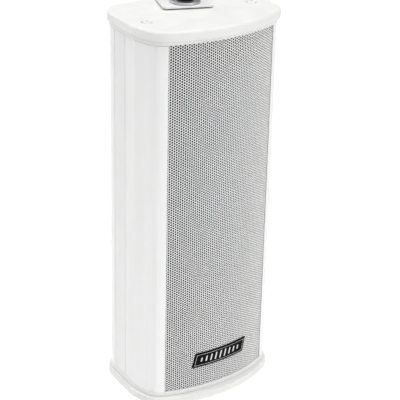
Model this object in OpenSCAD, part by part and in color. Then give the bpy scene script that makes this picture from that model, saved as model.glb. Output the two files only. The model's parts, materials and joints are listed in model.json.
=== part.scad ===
// Wall-mounted column loudspeaker: extruded enclosure, end caps, curved grille,
// three cone drivers, line transformer and a U-shaped swivel bracket.
// Row frame: origin on the bracket's wall face, +Y into the wall, +Z up.
// The column has a frame of its own: Z is the swivel axis, -Y is its front.

/* [Column] */
// Height over both end caps
column_height = 400; // [398:1:420]
// Half width of the profile along its widest line
widest_half = 78.9; // [78.5:0.1:79.5]
// Half width where the front curve would meet the side
front_half = 74.2; // [73.8:0.1:74.6]
// Half width where the rear face would meet the side
rear_half = 71.6; // [71:0.1:72.5]
// Radius of the convex front
front_radius = 168; // [166:1:172]
// Distance of the rear face behind the swivel axis
rear_y = 37.1; // [36.5:0.1:38]
// Wall thickness of the extrusion
wall = 2.2; // [2:0.1:2.4]

/* [End caps] */
// Height of an end cap
cap_height = 9.2; // [8.8:0.1:10]
// How far a cap stands out past the profile
cap_overhang = 3.2; // [2.8:0.1:3.6]
// Rounding of a cap's outer edge
cap_rounding = 2.4; // [2:0.2:4]
// Height of the end frame between cap and profile
frame_height = 4.4; // [4:0.1:5]
// Distance of the cap screws from the middle plane
cap_screw_x = 62.6; // [62:0.1:63]

/* [Grille] */
// Half width of the visible grille
grille_half = 62.2; // [61.8:0.1:62.6]
// Thickness of the perforated sheet
grille_sheet = 1; // [0.8:0.1:1]
// Width of the badge
badge_width = 65; // [50:1:80]
// Height of the badge
badge_height = 16; // [12:1:18]

/* [Drivers] */
// Distance between driver centres
driver_pitch = 112; // [108:1:114]

/* [Bracket] */
// Width of the bracket's steel strip
strip_width = 50; // [40:1:50]
// Thickness of the bracket's steel strip
strip = 2.5; // [2:0.5:3]
// Distance from the wall to the swivel axis
pivot_reach = 92; // [90:1:110]
// Turn of the column on its bracket as stored
rest_turn = 23; // [0:1:30]
// Height between the two wall screws
wall_hole_spacing = 240; // [120:10:320]

/* [Hidden] */

$fn = 64;
eps = 0.01;
white = [0.93, 0.935, 0.93];
dark = [0.06, 0.06, 0.065];
steel = [0.72, 0.73, 0.75];

// Profile outline, right half, in the column's frame
widest_y = -28.2;
front_corner_y = -55.4;
front_corner_r = 20;
widest_r = 4;
rear_corner_r = 24;
front_sagitta = front_radius - sqrt(front_radius * front_radius - front_half * front_half);
front_y = front_corner_y - front_sagitta;
front_centre_y = front_y + front_radius;

function cross2(a, b) = a[0] * b[1] - a[1] * b[0];
// A line as [point, direction], moved to its left by d
function line(p, q, d) = let (u = (q - p) / norm(q - p)) [p + d * [-u[1], u[0]], u];
function meet(l, m) = l[0] + l[1] * cross2(m[0] - l[0], m[1]) / cross2(l[1], m[1]);
// Where a line leaves a circle about c, going backwards along the line
function leave(l, c, r) =
    let (b = (l[0] - c) * l[1], k = (l[0] - c) * (l[0] - c) - r * r)
    l[0] - l[1] * (b + sqrt(b * b - k));
// Points along an arc in n steps, from number first on
function arc(c, r, from, to, n, first = 0) =
    [for (i = [first:n]) let (a = from + (to - from) * i / n) c + r * [cos(a), sin(a)]];

front_corner = [front_half, front_corner_y];
widest_point = [widest_half, widest_y];
rear_corner = [rear_half, rear_y];
front_centre = [0, front_centre_y];
// Centres of the three corner arcs: they stay put when the outline is offset
corner_c1 = leave(line(front_corner, widest_point, front_corner_r), front_centre,
                  front_radius - front_corner_r);
corner_c2 = meet(line(front_corner, widest_point, widest_r), line(widest_point, rear_corner, widest_r));
corner_c3 = meet(line(widest_point, rear_corner, rear_corner_r),
                 line(rear_corner, [0, rear_y], rear_corner_r));
function normal_angle(p, q) = atan2(p[0] - q[0], q[1] - p[1]);
side_a = normal_angle(front_corner, widest_point);
flank_a = normal_angle(widest_point, rear_corner);
front_a = atan2(corner_c1[1] - front_centre_y, corner_c1[0]);

// Right half of the outline, offset outwards by d, from the front apex to the rear
function half_outline(d) = concat(
    arc(front_centre, front_radius + d, -90, front_a, 22),
    arc(corner_c1, front_corner_r + d, front_a, side_a, 14, 1),
    arc(corner_c2, max(widest_r + d, 0.2), side_a, flank_a, 3),
    arc(corner_c3, rear_corner_r + d, flank_a, 90, 16));
function mirrored(points) = [for (i = [len(points) - 1:-1:1]) [-points[i][0], points[i][1]]];
function whole_outline(d) = concat(half_outline(d), mirrored(half_outline(d)));
module outline(d) {
    polygon(whole_outline(d));
}
module slab(d, low, high) {
    translate([0, 0, low]) linear_extrude(high - low) outline(d);
}
// Part of a ring about the front curve's centre, for whatever follows the front
module front_ring(outer, inner, half, low, high) {
    translate([0, 0, low]) linear_extrude(high - low) intersection() {
        translate(front_centre) difference() {
            circle(front_radius + outer, $fn = 360);
            circle(front_radius + inner, $fn = 360);
        }
        translate([-half, front_y - 5]) square([2 * half, front_sagitta + 5]);
    }
}

// Stack from the profile's end to the top of the bolt
gasket = 0.5;
gasket_inset = 0.6;
half_height = column_height / 2;
cap_base = half_height - cap_height;
frame_top = cap_base - gasket;
profile_end = frame_top - frame_height;
spacer = 1;
washer = 2.5;
arm_low = half_height + spacer;
arm_high = arm_low + strip;
head_low = arm_high + washer;

// The column stands turned on its bracket
module column_place() {
    translate([0, -pivot_reach, 0]) rotate([0, 0, rest_turn]) children();
}
// Both ends: the second copy is turned over
module both_ends() {
    children();
    mirror([0, 0, 1]) children();
}
module pair(x) {
    translate([x, 0, 0]) children();
    translate([-x, 0, 0]) children();
}

// ---- Bracket ----
bend = 6;
arm_front = 15;
arm_chamfer = 2.5;
pivot_hole_r = 5.05;
wall_hole_r = 3.25;
// The area inside the U's outer boundary, pulled in by t
module bracket_area(t) {
    far = -pivot_reach - arm_front - t;
    bend_z = arm_high - bend;
    polygon(concat([[far, t - arm_high]], arc([-bend, -bend_z], bend - t, -90, 0, 8),
                   arc([-bend, bend_z], bend - t, 0, 90, 8), [[far, arm_high - t]]));
}
module wall_bracket() {
    color(white) difference() {
        translate([-strip_width / 2, 0, 0]) rotate([90, 0, 90]) linear_extrude(strip_width)
            difference() {
                bracket_area(0);
                bracket_area(strip);
            }
        for (s = [-1, 1]) {
            translate([s * strip_width / 2, -pivot_reach - arm_front, 0]) rotate([0, 0, 45])
                cube([arm_chamfer * sqrt(2), arm_chamfer * sqrt(2), 3 * half_height], center = true);
            translate([0, 0, s * wall_hole_spacing / 2]) rotate([90, 0, 0])
                cylinder(r = wall_hole_r, h = 4 * strip, center = true);
        }
        translate([0, -pivot_reach, 0]) cylinder(r = pivot_hole_r, h = 3 * half_height, center = true);
    }
}

// ---- Extruded profile ----
lip = 0.9;
slot = 1.1;
grille_edge = 3;
cap_screw_y = -25.3;
port_r = 4.5;
port_hole_r = 2;
baffle_front = -55.6;
baffle_sheet = 5;
baffle_half = 66.3;
rib = 1.5;
rail_x = 34;
rail_depth = 7;
plate_front = 29.9;
plate_sheet = 1.5;
groove_ys = [-9.6, 11.9];
groove_w = 1.1;
groove_depth = 0.35;
cove_r = 8;
cove_depth = 0.9;
cove_angle = -31;
module profile_section() {
    difference() {
        union() {
            difference() {
                outline(0);
                outline(-wall);
                translate([-grille_half, front_y - 5]) square([2 * grille_half, front_sagitta + 4]);
            }
            intersection() {
                outline(-wall / 2);
                for (s = [-1, 1]) scale([s, 1]) profile_ribs();
            }
        }
        difference() {
            translate(front_centre) circle(front_radius - lip, $fn = 360);
            translate(front_centre) circle(front_radius - lip - slot, $fn = 360);
            translate([-front_radius, front_corner_y + 5]) square(2 * front_radius);
            for (s = [-1, 1])
                translate([s * (grille_half + grille_edge + front_radius), front_y])
                    square([2 * front_radius, 4 * front_radius], center = true);
        }
        for (s = [-1, 1]) scale([s, 1]) {
            for (y = groove_ys)
                translate([flank_x(y), y]) rotate(flank_a) square([2 * groove_depth, groove_w], center = true);
            translate(corner_c1 + (front_corner_r + cove_r - cove_depth) * [cos(cove_angle), sin(cove_angle)])
                circle(cove_r);
            translate([cap_screw_x, cap_screw_y]) circle(port_hole_r);
        }
    }
}
// Where the flank lies at a given depth
function flank_x(y) =
    widest_half + (rear_half - widest_half) * (y - widest_y) / (rear_y - widest_y);
module profile_ribs() {
    // Keeper behind the grille's edge
    intersection() {
        translate([grille_half, front_y]) square([6, front_sagitta + 3]);
        translate(front_centre) difference() {
            circle(front_radius, $fn = 360);
            circle(front_radius - lip - slot - 1.2, $fn = 360);
        }
    }
    // Two ribs that hold the baffle between them
    translate([baffle_half - 3.5, baffle_front - rib - 0.1]) square([12, rib]);
    translate([baffle_half - 3.5, baffle_front + baffle_sheet + 0.1]) square([16, rib]);
    // Screw port with its web
    translate([cap_screw_x, cap_screw_y]) circle(port_r);
    translate([cap_screw_x + port_hole_r + 1, cap_screw_y - 1]) square([18, 2]);
    // Rail for the chassis plate
    translate([rail_x, plate_front - 1.9]) square([2, rail_depth + 2]);
    translate([rail_x - 3, plate_front - 1.9]) square([3 + eps, 1.8]);
}
module enclosure_profile() {
    color(white) column_place()
        translate([0, 0, -profile_end]) linear_extrude(2 * profile_end) profile_section();
}

// ---- End caps and frames ----
cap_plate = 3.5;
cap_rim = 2.5;
recess_r = 6;
recess_depth = 1.9;
screw_hole_r = 2.25;
screw_boss_r = 6.8;
pivot_boss_r = 13;
insert_r = 7;
insert_flange_r = 10;
insert_low = 184;
gland_y = -46;
gland_hole_r = 8.1;
cap_steps = 5;
// A cap's front stands out further than the profile's: this much in the middle, fading to nothing
front_bulge = 3.5;
bulge_fade = 20;
function bulged(p, z) =
    [p[0], p[1] - front_bulge * (1 - pow(p[0] / (widest_half + cap_overhang), 2))
               * min(1, max(0, (widest_y - p[1]) / bulge_fade)), z];
// The cap's outer form: rings of the outline, drawn in along a quarter circle
module rounded_cap() {
    levels = concat([[0, cap_base]],
                    [for (i = [0:cap_steps]) let (a = 90 * i / cap_steps)
                        [cap_rounding * (1 - cos(a)), half_height - cap_rounding * (1 - sin(a))]]);
    rings = [for (l = levels) [for (p = whole_outline(cap_overhang - l[0])) bulged(p, l[1])]];
    n = len(rings[0]);
    top = len(rings) - 1;
    polyhedron([for (r = rings) each r], concat(
        [[for (i = [0:n - 1]) i]],
        [for (k = [0:top - 1], i = [0:n - 1]) let (j = (i + 1) % n)
            each [[k * n + i, (k + 1) * n + i, (k + 1) * n + j], [k * n + i, (k + 1) * n + j, k * n + j]]],
        [[for (i = [n - 1:-1:0]) top * n + i]]));
}
module end_cap() {
    difference() {
        union() {
            difference() {
                rounded_cap();
                slab(-cap_rim, cap_base - 1, half_height - cap_plate);
            }
            pair(cap_screw_x) translate([0, cap_screw_y, profile_end + 0.1])
                cylinder(r = screw_boss_r, h = half_height - cap_plate - profile_end);
            translate([0, 0, insert_low])
                cylinder(r = pivot_boss_r, h = half_height - cap_plate - insert_low + eps);
        }
        pair(cap_screw_x) translate([0, cap_screw_y, 0]) {
            cylinder(r = screw_hole_r, h = column_height);
            translate([0, 0, half_height - recess_depth]) cylinder(r = recess_r, h = 5);
        }
        cylinder(r = pivot_hole_r + 0.2, h = column_height);
        cylinder(r = insert_r, h = half_height - cap_plate + 0.5);
    }
}
module top_cap() {
    color(white) column_place() end_cap();
}
module bottom_cap() {
    color(white) column_place() mirror([0, 0, 1]) difference() {
        end_cap();
        translate([0, gland_y, 0]) cylinder(r = gland_hole_r, h = column_height);
    }
}
frame_overhang = 0.8;
frame_rim = 5.5;
module end_frame() {
    difference() {
        slab(frame_overhang, profile_end, frame_top);
        slab(-frame_rim, profile_end - 1, frame_top + 1);
    }
}
module top_frame() {
    color(white) column_place() end_frame();
}
module bottom_frame() {
    color(white) column_place() mirror([0, 0, 1]) end_frame();
}
module end_gaskets() {
    color(dark) column_place() both_ends() difference() {
        slab(-gasket_inset, frame_top, cap_base);
        slab(-cap_rim, frame_top - 1, cap_base + 1);
    }
}

// ---- Grille and badge ----
grille_gap = 0.05;
cloth = 0.8;
grille_end = profile_end - 0.2;
badge_z = -155.3;
badge_slant = 4;
badge_sheet = 1;
inlay_sheet = 0.15;
module grille() {
    color([0.9, 0.9, 0.9]) column_place()
        front_ring(-lip - grille_gap, -lip - grille_gap - grille_sheet, grille_half + grille_edge - 0.3,
                   -grille_end, grille_end);
}
module grille_cloth() {
    color(dark) column_place()
        front_ring(-lip - grille_gap - grille_sheet, -lip - grille_gap - grille_sheet - cloth,
                   grille_half - 0.4, -grille_end, grille_end);
}
// A slanted outline seen from the front, pulled in by d, as a bar that runs through the front
module badge_bar(d) {
    w = badge_width / 2 - d;
    h = badge_height / 2 - d;
    lean = badge_slant / 2 * h / (badge_height / 2);
    translate([0, 0, badge_z]) rotate([90, 0, 0]) linear_extrude(front_radius)
        polygon([[-w - lean, -h], [w - lean, -h], [w + lean, h], [-w + lean, h]]);
}
module badge_layer(low, high) {
    front_ring(high, low, front_half, badge_z - badge_height, badge_z + badge_height);
}
module badge_plate() {
    color(dark) column_place() intersection() {
        badge_layer(-lip - grille_gap, -lip - grille_gap + badge_sheet);
        badge_bar(0);
    }
}
module badge_inlay() {
    color(steel) column_place() intersection() {
        badge_layer(-lip - grille_gap + badge_sheet, -lip - grille_gap + badge_sheet + inlay_sheet);
        difference() {
            badge_bar(1.6);
            badge_bar(2.4);
        }
    }
}

// ---- Drivers ----
// Each driver's own frame: Z = 0 on the baffle's front, +Z out of the front
cone_r = 38;
surround_r = 45.5;
basket_r = 46;
flange_half = 51;
flange_reach = 62;
flange = 3;
ear = 40;
basket_back = -25;
basket_back_r = 31;
pole_r = 11.6;
former_r = 12;
coil_r = 12.9;
neck_z = -18;
magnet_front = -29.2;
magnet_back = -39.2;
magnet_r = 30;
plate_r = 26;
cone_paper = 1;
screw_r = 1.7;
module driver_place(n) {
    column_place() translate([0, baffle_front, (n - 2) * driver_pitch]) rotate([90, 0, 0]) children();
}
module at_ears() {
    for (x = [-ear, ear], y = [-ear, ear]) translate([x, y, 0]) children();
}
module baffle() {
    color([0.25, 0.2, 0.16]) difference() {
        column_place() translate([-baffle_half, baffle_front, -grille_end])
            cube([2 * baffle_half, baffle_sheet, 2 * grille_end]);
        for (n = [1:3]) driver_place(n) {
            cylinder(r = basket_r + 0.5, h = 20, center = true);
            at_ears() cylinder(r = screw_r + 0.05, h = 20, center = true);
        }
    }
}
module basket(n) {
    wall_t = 1.2;
    window = 26;
    color([0.16, 0.16, 0.17]) driver_place(n) {
        difference() {
            union() {
                linear_extrude(flange) difference() {
                    intersection() {
                        square(2 * flange_half, center = true);
                        circle(flange_reach);
                    }
                    circle(basket_r - wall_t);
                }
                rotate_extrude() polygon([
                    [basket_r, 0.5], [basket_r, -2], [basket_back_r + 1, -19], [basket_back_r + 1, basket_back],
                    [14, basket_back], [14, basket_back + wall_t], [basket_back_r, basket_back + wall_t],
                    [basket_back_r, -21.8], [26, -21.8], [26, -21], [basket_back_r, -21],
                    [basket_back_r, -19], [basket_r - wall_t, -2], [basket_r - wall_t, 0.5]]);
                // Terminal tag
                translate([basket_back_r, -9, basket_back]) cube([11, 18, 1]);
            }
            for (a = [45:90:315]) rotate(a) translate([basket_back_r + 6, 0, -10.5])
                cube([16, window, 14], center = true);
            at_ears() cylinder(r = screw_r + 0.6, h = 20, center = true);
        }
    }
}
module magnet(n) {
    color([0.2, 0.2, 0.21]) driver_place(n) translate([0, 0, magnet_back]) difference() {
        cylinder(r = magnet_r, h = magnet_front - magnet_back);
        translate([0, 0, -1]) cylinder(r = 15, h = 20);
    }
}
module yoke(n) {
    color(steel) driver_place(n) {
        difference() {
            translate([0, 0, magnet_front]) cylinder(r = plate_r, h = basket_back - magnet_front);
            translate([0, 0, magnet_front - 1]) cylinder(r = coil_r + 0.4, h = 20);
        }
        translate([0, 0, magnet_back - 4]) cylinder(r = plate_r, h = 4);
        translate([0, 0, magnet_back - 1]) cylinder(r = pole_r, h = basket_back - magnet_back + 1);
    }
}
module surround(n) {
    roll_r = (surround_r - cone_r - 0.5) / 2;
    roll_c = [cone_r + 0.5 + roll_r, flange];
    skin = 0.6;
    color(dark) driver_place(n) rotate_extrude() polygon(concat(
        [[cone_r - 2.5, flange], [cone_r - 2.5, flange + skin]],
        arc(roll_c, roll_r + skin, 170, 10, 12),
        [[surround_r + 4, flange + skin], [surround_r + 4, flange]],
        arc(roll_c, roll_r, 0, 180, 12)));
}
module spider(n) {
    skin = 0.5;
    inner = former_r + 0.5;
    outer = basket_back_r - 0.3;
    waves = 4;
    steps = 24;
    function ripple(t) = -20.4 + 0.5 * (1 - cos(360 * waves * t)) / 2;
    color([0.8, 0.62, 0.3]) driver_place(n) rotate_extrude() polygon(concat(
        [for (i = [0:steps]) [inner + (outer - inner) * i / steps, ripple(i / steps)]],
        [for (i = [steps:-1:0]) [inner + (outer - inner) * i / steps, ripple(i / steps) - skin]]));
}
module cone(n) {
    color([0.12, 0.12, 0.12]) driver_place(n) rotate_extrude() polygon([
        [former_r + 0.5, neck_z], [cone_r, flange - cone_paper],
        [cone_r, flange], [former_r + 0.5, neck_z + cone_paper]]);
}
dust_r = 15;
dust_rise = 4;
module dust_cap(n) {
    ball = (dust_r * dust_r + dust_rise * dust_rise) / (2 * dust_rise);
    rim = acos(dust_r / ball);
    base = neck_z + cone_paper + 2.3;
    skin = 0.5;
    color([0.1, 0.1, 0.1]) driver_place(n) translate([0, 0, base - ball + dust_rise])
        rotate_extrude() polygon(concat(arc([0, 0], ball, 90, rim, 10),
                                        arc([0, 0], ball - skin, rim, 90, 10)));
}
module voice_coil(n) {
    color([0.72, 0.45, 0.2]) driver_place(n) rotate_extrude() polygon([
        [former_r, -33], [coil_r, -33], [coil_r, -25.5], [former_r + 0.5, -25.5],
        [former_r + 0.5, neck_z + cone_paper], [former_r, neck_z + cone_paper]]);
}
module driver_screws() {
    color(dark) for (n = [1:3]) driver_place(n) at_ears() translate([0, 0, -9]) {
        cylinder(r = screw_r, h = 9 + flange + eps);
        translate([0, 0, 9 + flange]) cylinder(r = 3.4, h = 2);
    }
}

// ---- Line transformer and terminals on the chassis plate ----
chassis_x = 26.5;
terminal_x = 18;
transformer_z = 56;
terminal_z = 8;
core = [42, 35, 15];
core_limb = 14;
core_window = [7, 21];
winding_reach = 14.5;
strap = 0.8;
strap_height = 12;
foot = 9;
chassis_screw_r = 1.7;
module chassis_plate() {
    color(steel) column_place() difference() {
        translate([-rail_x + 0.2, plate_front, -30]) cube([2 * rail_x - 0.4, plate_sheet, 120]);
        at_chassis_screws() cylinder(r = chassis_screw_r + 0.05, h = 20, center = true);
    }
}
module at_chassis_screws() {
    pair(chassis_x) translate([0, plate_front, transformer_z]) rotate([90, 0, 0]) children();
    pair(terminal_x) translate([0, plate_front, terminal_z]) rotate([90, 0, 0]) children();
}
module core_place() {
    column_place() translate([0, plate_front - core[1] / 2, transformer_z]) children();
}
module transformer_core() {
    color([0.3, 0.3, 0.33]) core_place() linear_extrude(core[2], center = true) difference() {
        square([core[0], core[1]], center = true);
        pair((core_limb + core_window[0]) / 2) square(core_window, center = true);
    }
}
module transformer_winding() {
    gap = 0.1;
    color([0.75, 0.6, 0.25]) core_place() difference() {
        cube([core_limb + 2 * core_window[0] - 2 * gap, core_window[1] - 2 * gap, 2 * winding_reach],
             center = true);
        cube([core_limb + 2 * gap, core[1], core[2] + 2 * gap], center = true);
    }
}
module transformer_clamp() {
    gap = 0.1;
    half = core[0] / 2 + gap + strap;
    color(steel) core_place() difference() {
        union() {
            translate([-half, -core[1] / 2 - gap - strap, -strap_height / 2])
                cube([2 * half, core[1] + gap + strap, strap_height]);
            translate([-half - foot, core[1] / 2 - strap, -strap_height / 2])
                cube([2 * (half + foot), strap, strap_height]);
        }
        translate([-core[0] / 2 - gap, -core[1] / 2 - gap, -strap_height])
            cube([core[0] + 2 * gap, core[1] + 2, 2 * strap_height]);
        pair(chassis_x) rotate([90, 0, 0])
            cylinder(r = chassis_screw_r + 0.3, h = 2 * core[1], center = true);
    }
}
module chassis_screws() {
    tail = plate_sheet + 1.6;
    color(steel) column_place() {
        pair(chassis_x) translate([0, plate_front + tail, transformer_z])
            rotate([90, 0, 0]) chassis_screw(tail + strap);
        pair(terminal_x) translate([0, plate_front + tail, terminal_z])
            rotate([90, 0, 0]) chassis_screw(tail + terminal_foot);
    }
}
module chassis_screw(grip) {
    cylinder(r = chassis_screw_r, h = grip + eps);
    translate([0, 0, grip]) cylinder(r = 3, h = 1.8);
}
terminal_foot = 3;
terminal_depth = 14;
module terminal_block() {
    color([0.85, 0.83, 0.75]) column_place() translate([0, plate_front, terminal_z]) difference() {
        union() {
            translate([-24, -terminal_foot, -5]) cube([48, terminal_foot, 10]);
            translate([-13, -terminal_depth, -7]) cube([26, terminal_depth, 14]);
        }
        pair(terminal_x) rotate([90, 0, 0]) cylinder(r = chassis_screw_r + 0.3, h = 10, center = true);
        for (x = [-8, 0, 8]) translate([x, -terminal_depth - 1, 0]) rotate([-90, 0, 0])
            cylinder(r = 2, h = 7);
    }
}
module damping_wadding() {
    color([0.85, 0.86, 0.84]) column_place() {
        translate([-50, 14, -165]) cube([100, 12, 95]);
        translate([-50, 14, 97]) cube([100, 12, 68]);
    }
}

// ---- Internal wiring ----
wire_r = 0.9;
trunk_y = -22;
// A wire along straight stretches, round at its bends
module wire(points) {
    for (i = [0:len(points) - 2]) let (p = points[i], v = points[i + 1] - p)
        translate(p) rotate([0, acos(v[2] / norm(v)), atan2(v[1], v[0])])
            cylinder(r = wire_r, h = norm(v), $fn = 16);
    for (i = [1:len(points) - 2]) translate(points[i]) sphere(wire_r, $fn = 16);
}
module wiring(x, side, feed_z) {
    winding_top = transformer_z + winding_reach + 0.1;
    tag_y = baffle_front - basket_back;
    top = driver_pitch + side * 4;
    wire([[x, tag_y + 0.05, -driver_pitch + side * 4], [x, trunk_y, -driver_pitch + side * 4],
          [x, trunk_y, top], [x, tag_y + 0.05, top]]);
    wire([[x, tag_y + 0.05, side * 4], [x, trunk_y, side * 4]]);
    wire([[x, trunk_y, feed_z], [x, 10, feed_z], [side * 9, 10, feed_z], [side * 9, 10, winding_top]]);
    translate([side * 5, 22, terminal_z + 7.1])
        cylinder(r = wire_r, h = transformer_z - winding_reach - terminal_z - 7.2, $fn = 16);
}
module wiring_positive() {
    color("firebrick") column_place() wiring(35.5, 1, 76);
}
module wiring_negative() {
    color(dark) column_place() wiring(39.5, -1, 80);
}

// ---- Cable gland in the bottom cap ----
seal_bore_r = 3.5;
seal_r = 5.5;
module gland_place() {
    column_place() translate([0, gland_y, -half_height]) mirror([0, 0, 1]) children();
}
module gland_body() {
    color(dark) gland_place() difference() {
        union() {
            cylinder(r = 12.5, h = 5, $fn = 6);
            translate([0, 0, -10]) cylinder(r = 8, h = 20);
        }
        translate([0, 0, -11]) cylinder(r = seal_r, h = 30);
    }
}
module gland_nut() {
    color(dark) gland_place() translate([0, 0, 5.2]) difference() {
        union() {
            cylinder(r = 11.5, h = 6, $fn = 6);
            translate([0, 0, 6]) cylinder(r1 = 9.5, r2 = 7.5, h = 4);
        }
        translate([0, 0, -1]) cylinder(r = 8.05, h = 5.9);
        cylinder(r = seal_r - 0.5, h = 20);
    }
}
module gland_seal() {
    color([0.1, 0.1, 0.1]) gland_place() translate([0, 0, -2]) difference() {
        cylinder(r = seal_r - 0.02, h = 12);
        translate([0, 0, -1]) cylinder(r = seal_bore_r, h = 20);
    }
}
module gland_locknut() {
    color(dark) gland_place() translate([0, 0, -cap_plate - 4]) difference() {
        cylinder(r = 12.5, h = 4, $fn = 6);
        translate([0, 0, -1]) cylinder(r = 8.05, h = 10);
    }
}

// ---- Fasteners ----
bolt_r = 5;
bolt_head_r = 8;
bolt_head = 10;
bolt_tip = 181;
module cap_screws() {
    length = 27;
    seat = half_height - recess_depth;
    color(white) column_place() both_ends() pair(cap_screw_x) translate([0, cap_screw_y, 0])
        difference() {
            union() {
                translate([0, 0, seat - length]) cylinder(r = port_hole_r - 0.05, h = length + eps);
                translate([0, 0, seat]) cylinder(r = 4.4, h = 1.4);
                translate([0, 0, seat + 1.4]) cylinder(r1 = 4.4, r2 = 3.2, h = 0.9);
            }
            for (a = [0, 90]) rotate(a) translate([0, 0, seat + 1.9]) cube([4.6, 0.9, 1.6], center = true);
        }
}
module pivot_inserts() {
    color([0.75, 0.65, 0.35]) column_place() both_ends() difference() {
        union() {
            translate([0, 0, insert_low]) cylinder(r = insert_r - 0.02, h = half_height - cap_plate - insert_low);
            translate([0, 0, insert_low - 2]) cylinder(r = insert_flange_r, h = 2);
        }
        cylinder(r = bolt_r + 0.05, h = column_height);
    }
}
module pivot_bolts() {
    color(dark) column_place() both_ends() difference() {
        union() {
            translate([0, 0, bolt_tip]) cylinder(r = bolt_r, h = head_low - bolt_tip + eps);
            translate([0, 0, head_low]) cylinder(r = bolt_head_r, h = bolt_head);
        }
        translate([0, 0, head_low + bolt_head / 2]) cylinder(r = 4.6, h = bolt_head, $fn = 6);
    }
}
module washer_ring(low, high, outer, inner) {
    translate([0, 0, low]) difference() {
        cylinder(r = outer, h = high - low);
        translate([0, 0, -1]) cylinder(r = inner, h = high - low + 2);
    }
}
module pivot_washers() {
    color(steel) column_place() both_ends() washer_ring(arm_high, head_low, 15, bolt_r + 0.25);
}
module spacer_washers() {
    color(dark) column_place() both_ends() washer_ring(half_height, arm_low, 12.5, bolt_r + 0.25);
}

wall_bracket();
enclosure_profile();
top_cap();
bottom_cap();
top_frame();
bottom_frame();
end_gaskets();
grille();
grille_cloth();
badge_plate();
badge_inlay();
baffle();
for (n = [1:3]) {
    basket(n);
    magnet(n);
    yoke(n);
    surround(n);
    spider(n);
    cone(n);
    dust_cap(n);
    voice_coil(n);
}
driver_screws();
chassis_plate();
transformer_core();
transformer_winding();
transformer_clamp();
chassis_screws();
terminal_block();
damping_wadding();
gland_body();
gland_nut();
gland_seal();
gland_locknut();
cap_screws();
pivot_inserts();
pivot_bolts();
pivot_washers();
spacer_washers();
wiring_positive();
wiring_negative();
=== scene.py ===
import json
import math

import bmesh
import bpy
from mathutils import Matrix, Vector, noise
from mathutils.geometry import tessellate_polygon


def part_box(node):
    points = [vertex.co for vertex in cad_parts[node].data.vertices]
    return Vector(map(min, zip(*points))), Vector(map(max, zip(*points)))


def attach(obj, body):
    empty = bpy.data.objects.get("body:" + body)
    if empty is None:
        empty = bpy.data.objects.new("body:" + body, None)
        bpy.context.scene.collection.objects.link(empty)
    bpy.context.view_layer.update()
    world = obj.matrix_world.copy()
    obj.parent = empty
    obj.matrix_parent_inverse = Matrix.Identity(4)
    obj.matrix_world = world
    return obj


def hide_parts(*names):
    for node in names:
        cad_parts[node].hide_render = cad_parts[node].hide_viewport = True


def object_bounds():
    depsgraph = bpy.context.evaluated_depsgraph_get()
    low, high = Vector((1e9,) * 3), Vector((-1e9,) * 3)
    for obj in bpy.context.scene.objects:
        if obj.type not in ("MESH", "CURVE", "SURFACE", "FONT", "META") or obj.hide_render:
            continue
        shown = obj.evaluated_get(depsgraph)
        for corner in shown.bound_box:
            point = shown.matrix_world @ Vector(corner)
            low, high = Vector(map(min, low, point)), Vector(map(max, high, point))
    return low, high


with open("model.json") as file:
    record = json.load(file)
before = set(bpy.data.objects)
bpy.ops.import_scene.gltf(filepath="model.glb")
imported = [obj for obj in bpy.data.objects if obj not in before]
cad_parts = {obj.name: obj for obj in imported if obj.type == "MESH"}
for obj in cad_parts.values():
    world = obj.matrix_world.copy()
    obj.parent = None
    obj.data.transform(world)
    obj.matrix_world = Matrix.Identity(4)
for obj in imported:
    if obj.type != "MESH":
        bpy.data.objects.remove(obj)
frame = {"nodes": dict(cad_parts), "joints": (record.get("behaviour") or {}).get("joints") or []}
cad_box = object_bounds()

MM = 0.001
joints = {j["name"]: j for j in frame["joints"]}
front_way = Vector(joints["cone_stroke_1"]["axis"])
TURN = math.atan2(front_way.x, -front_way.y)
PIVOT = Vector(joints["column_swivel"]["pos_m"])
COLUMN = Matrix.Translation(PIVOT) @ Matrix.Rotation(TURN, 4, "Z") @ Matrix.Scale(MM, 4)
ROW = Matrix.Scale(MM, 4)


def node_points(node):
    """A CAD node's points in the column's frame, in millimetres."""
    back = COLUMN.inverted()
    return [back @ v.co for v in frame["nodes"][node].data.vertices]


def extremes(points):
    """Lowest and highest corner of the box round some points."""
    return [Vector([pick(p[i] for p in points) for i in range(3)]) for pick in (min, max)]


def span(node):
    """The box of a CAD node in the column's frame."""
    return extremes(node_points(node))


# ---- Camera ----
LENS = 125.68
VIEW_DISTANCE = 1413.5
VIEW_AZIMUTH = math.radians(-14.41)
VIEW_ELEVATION = math.radians(24.12)
VIEW_ROLL = math.radians(1.30)
VIEW_TARGET = Vector((-0.44, -31.6, 4.2))
SENSOR = 36


def make_camera():
    """The photo's viewpoint: azimuth and elevation in the row's frame, aimed at a point of the column."""
    a, e = VIEW_AZIMUTH, VIEW_ELEVATION
    back = Vector((math.sin(a) * math.cos(e), -math.cos(a) * math.cos(e), math.sin(e)))
    level = Vector((math.cos(a), math.sin(a), 0))
    upright = back.cross(level)
    right = level * math.cos(VIEW_ROLL) + upright * math.sin(VIEW_ROLL)
    up = upright * math.cos(VIEW_ROLL) - level * math.sin(VIEW_ROLL)
    data = bpy.data.cameras.new("camera")
    data.lens = LENS
    data.sensor_width = SENSOR
    data.clip_end = 100
    camera = bpy.data.objects.new("camera", data)
    bpy.context.scene.collection.objects.link(camera)
    place = Matrix((right, up, back)).transposed().to_4x4()
    place.translation = COLUMN @ VIEW_TARGET + back * VIEW_DISTANCE * MM
    camera.matrix_world = place
    bpy.context.scene.camera = camera


# ---- Outline of the column: the same arcs as the CAD model's ----
WIDEST = Vector((78.9, -28.2))
FRONT_CORNER = Vector((74.2, -55.4))
REAR_CORNER = Vector((71.6, 37.1))
FRONT_R = 168
CORNER_R = 20
WIDEST_R = 4
REAR_R = 24
FRONT_CENTRE = Vector((0, FRONT_CORNER.y + math.sqrt(FRONT_R ** 2 - FRONT_CORNER.x ** 2)))


def cross(a, b):
    return a.x * b.y - a.y * b.x


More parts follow.
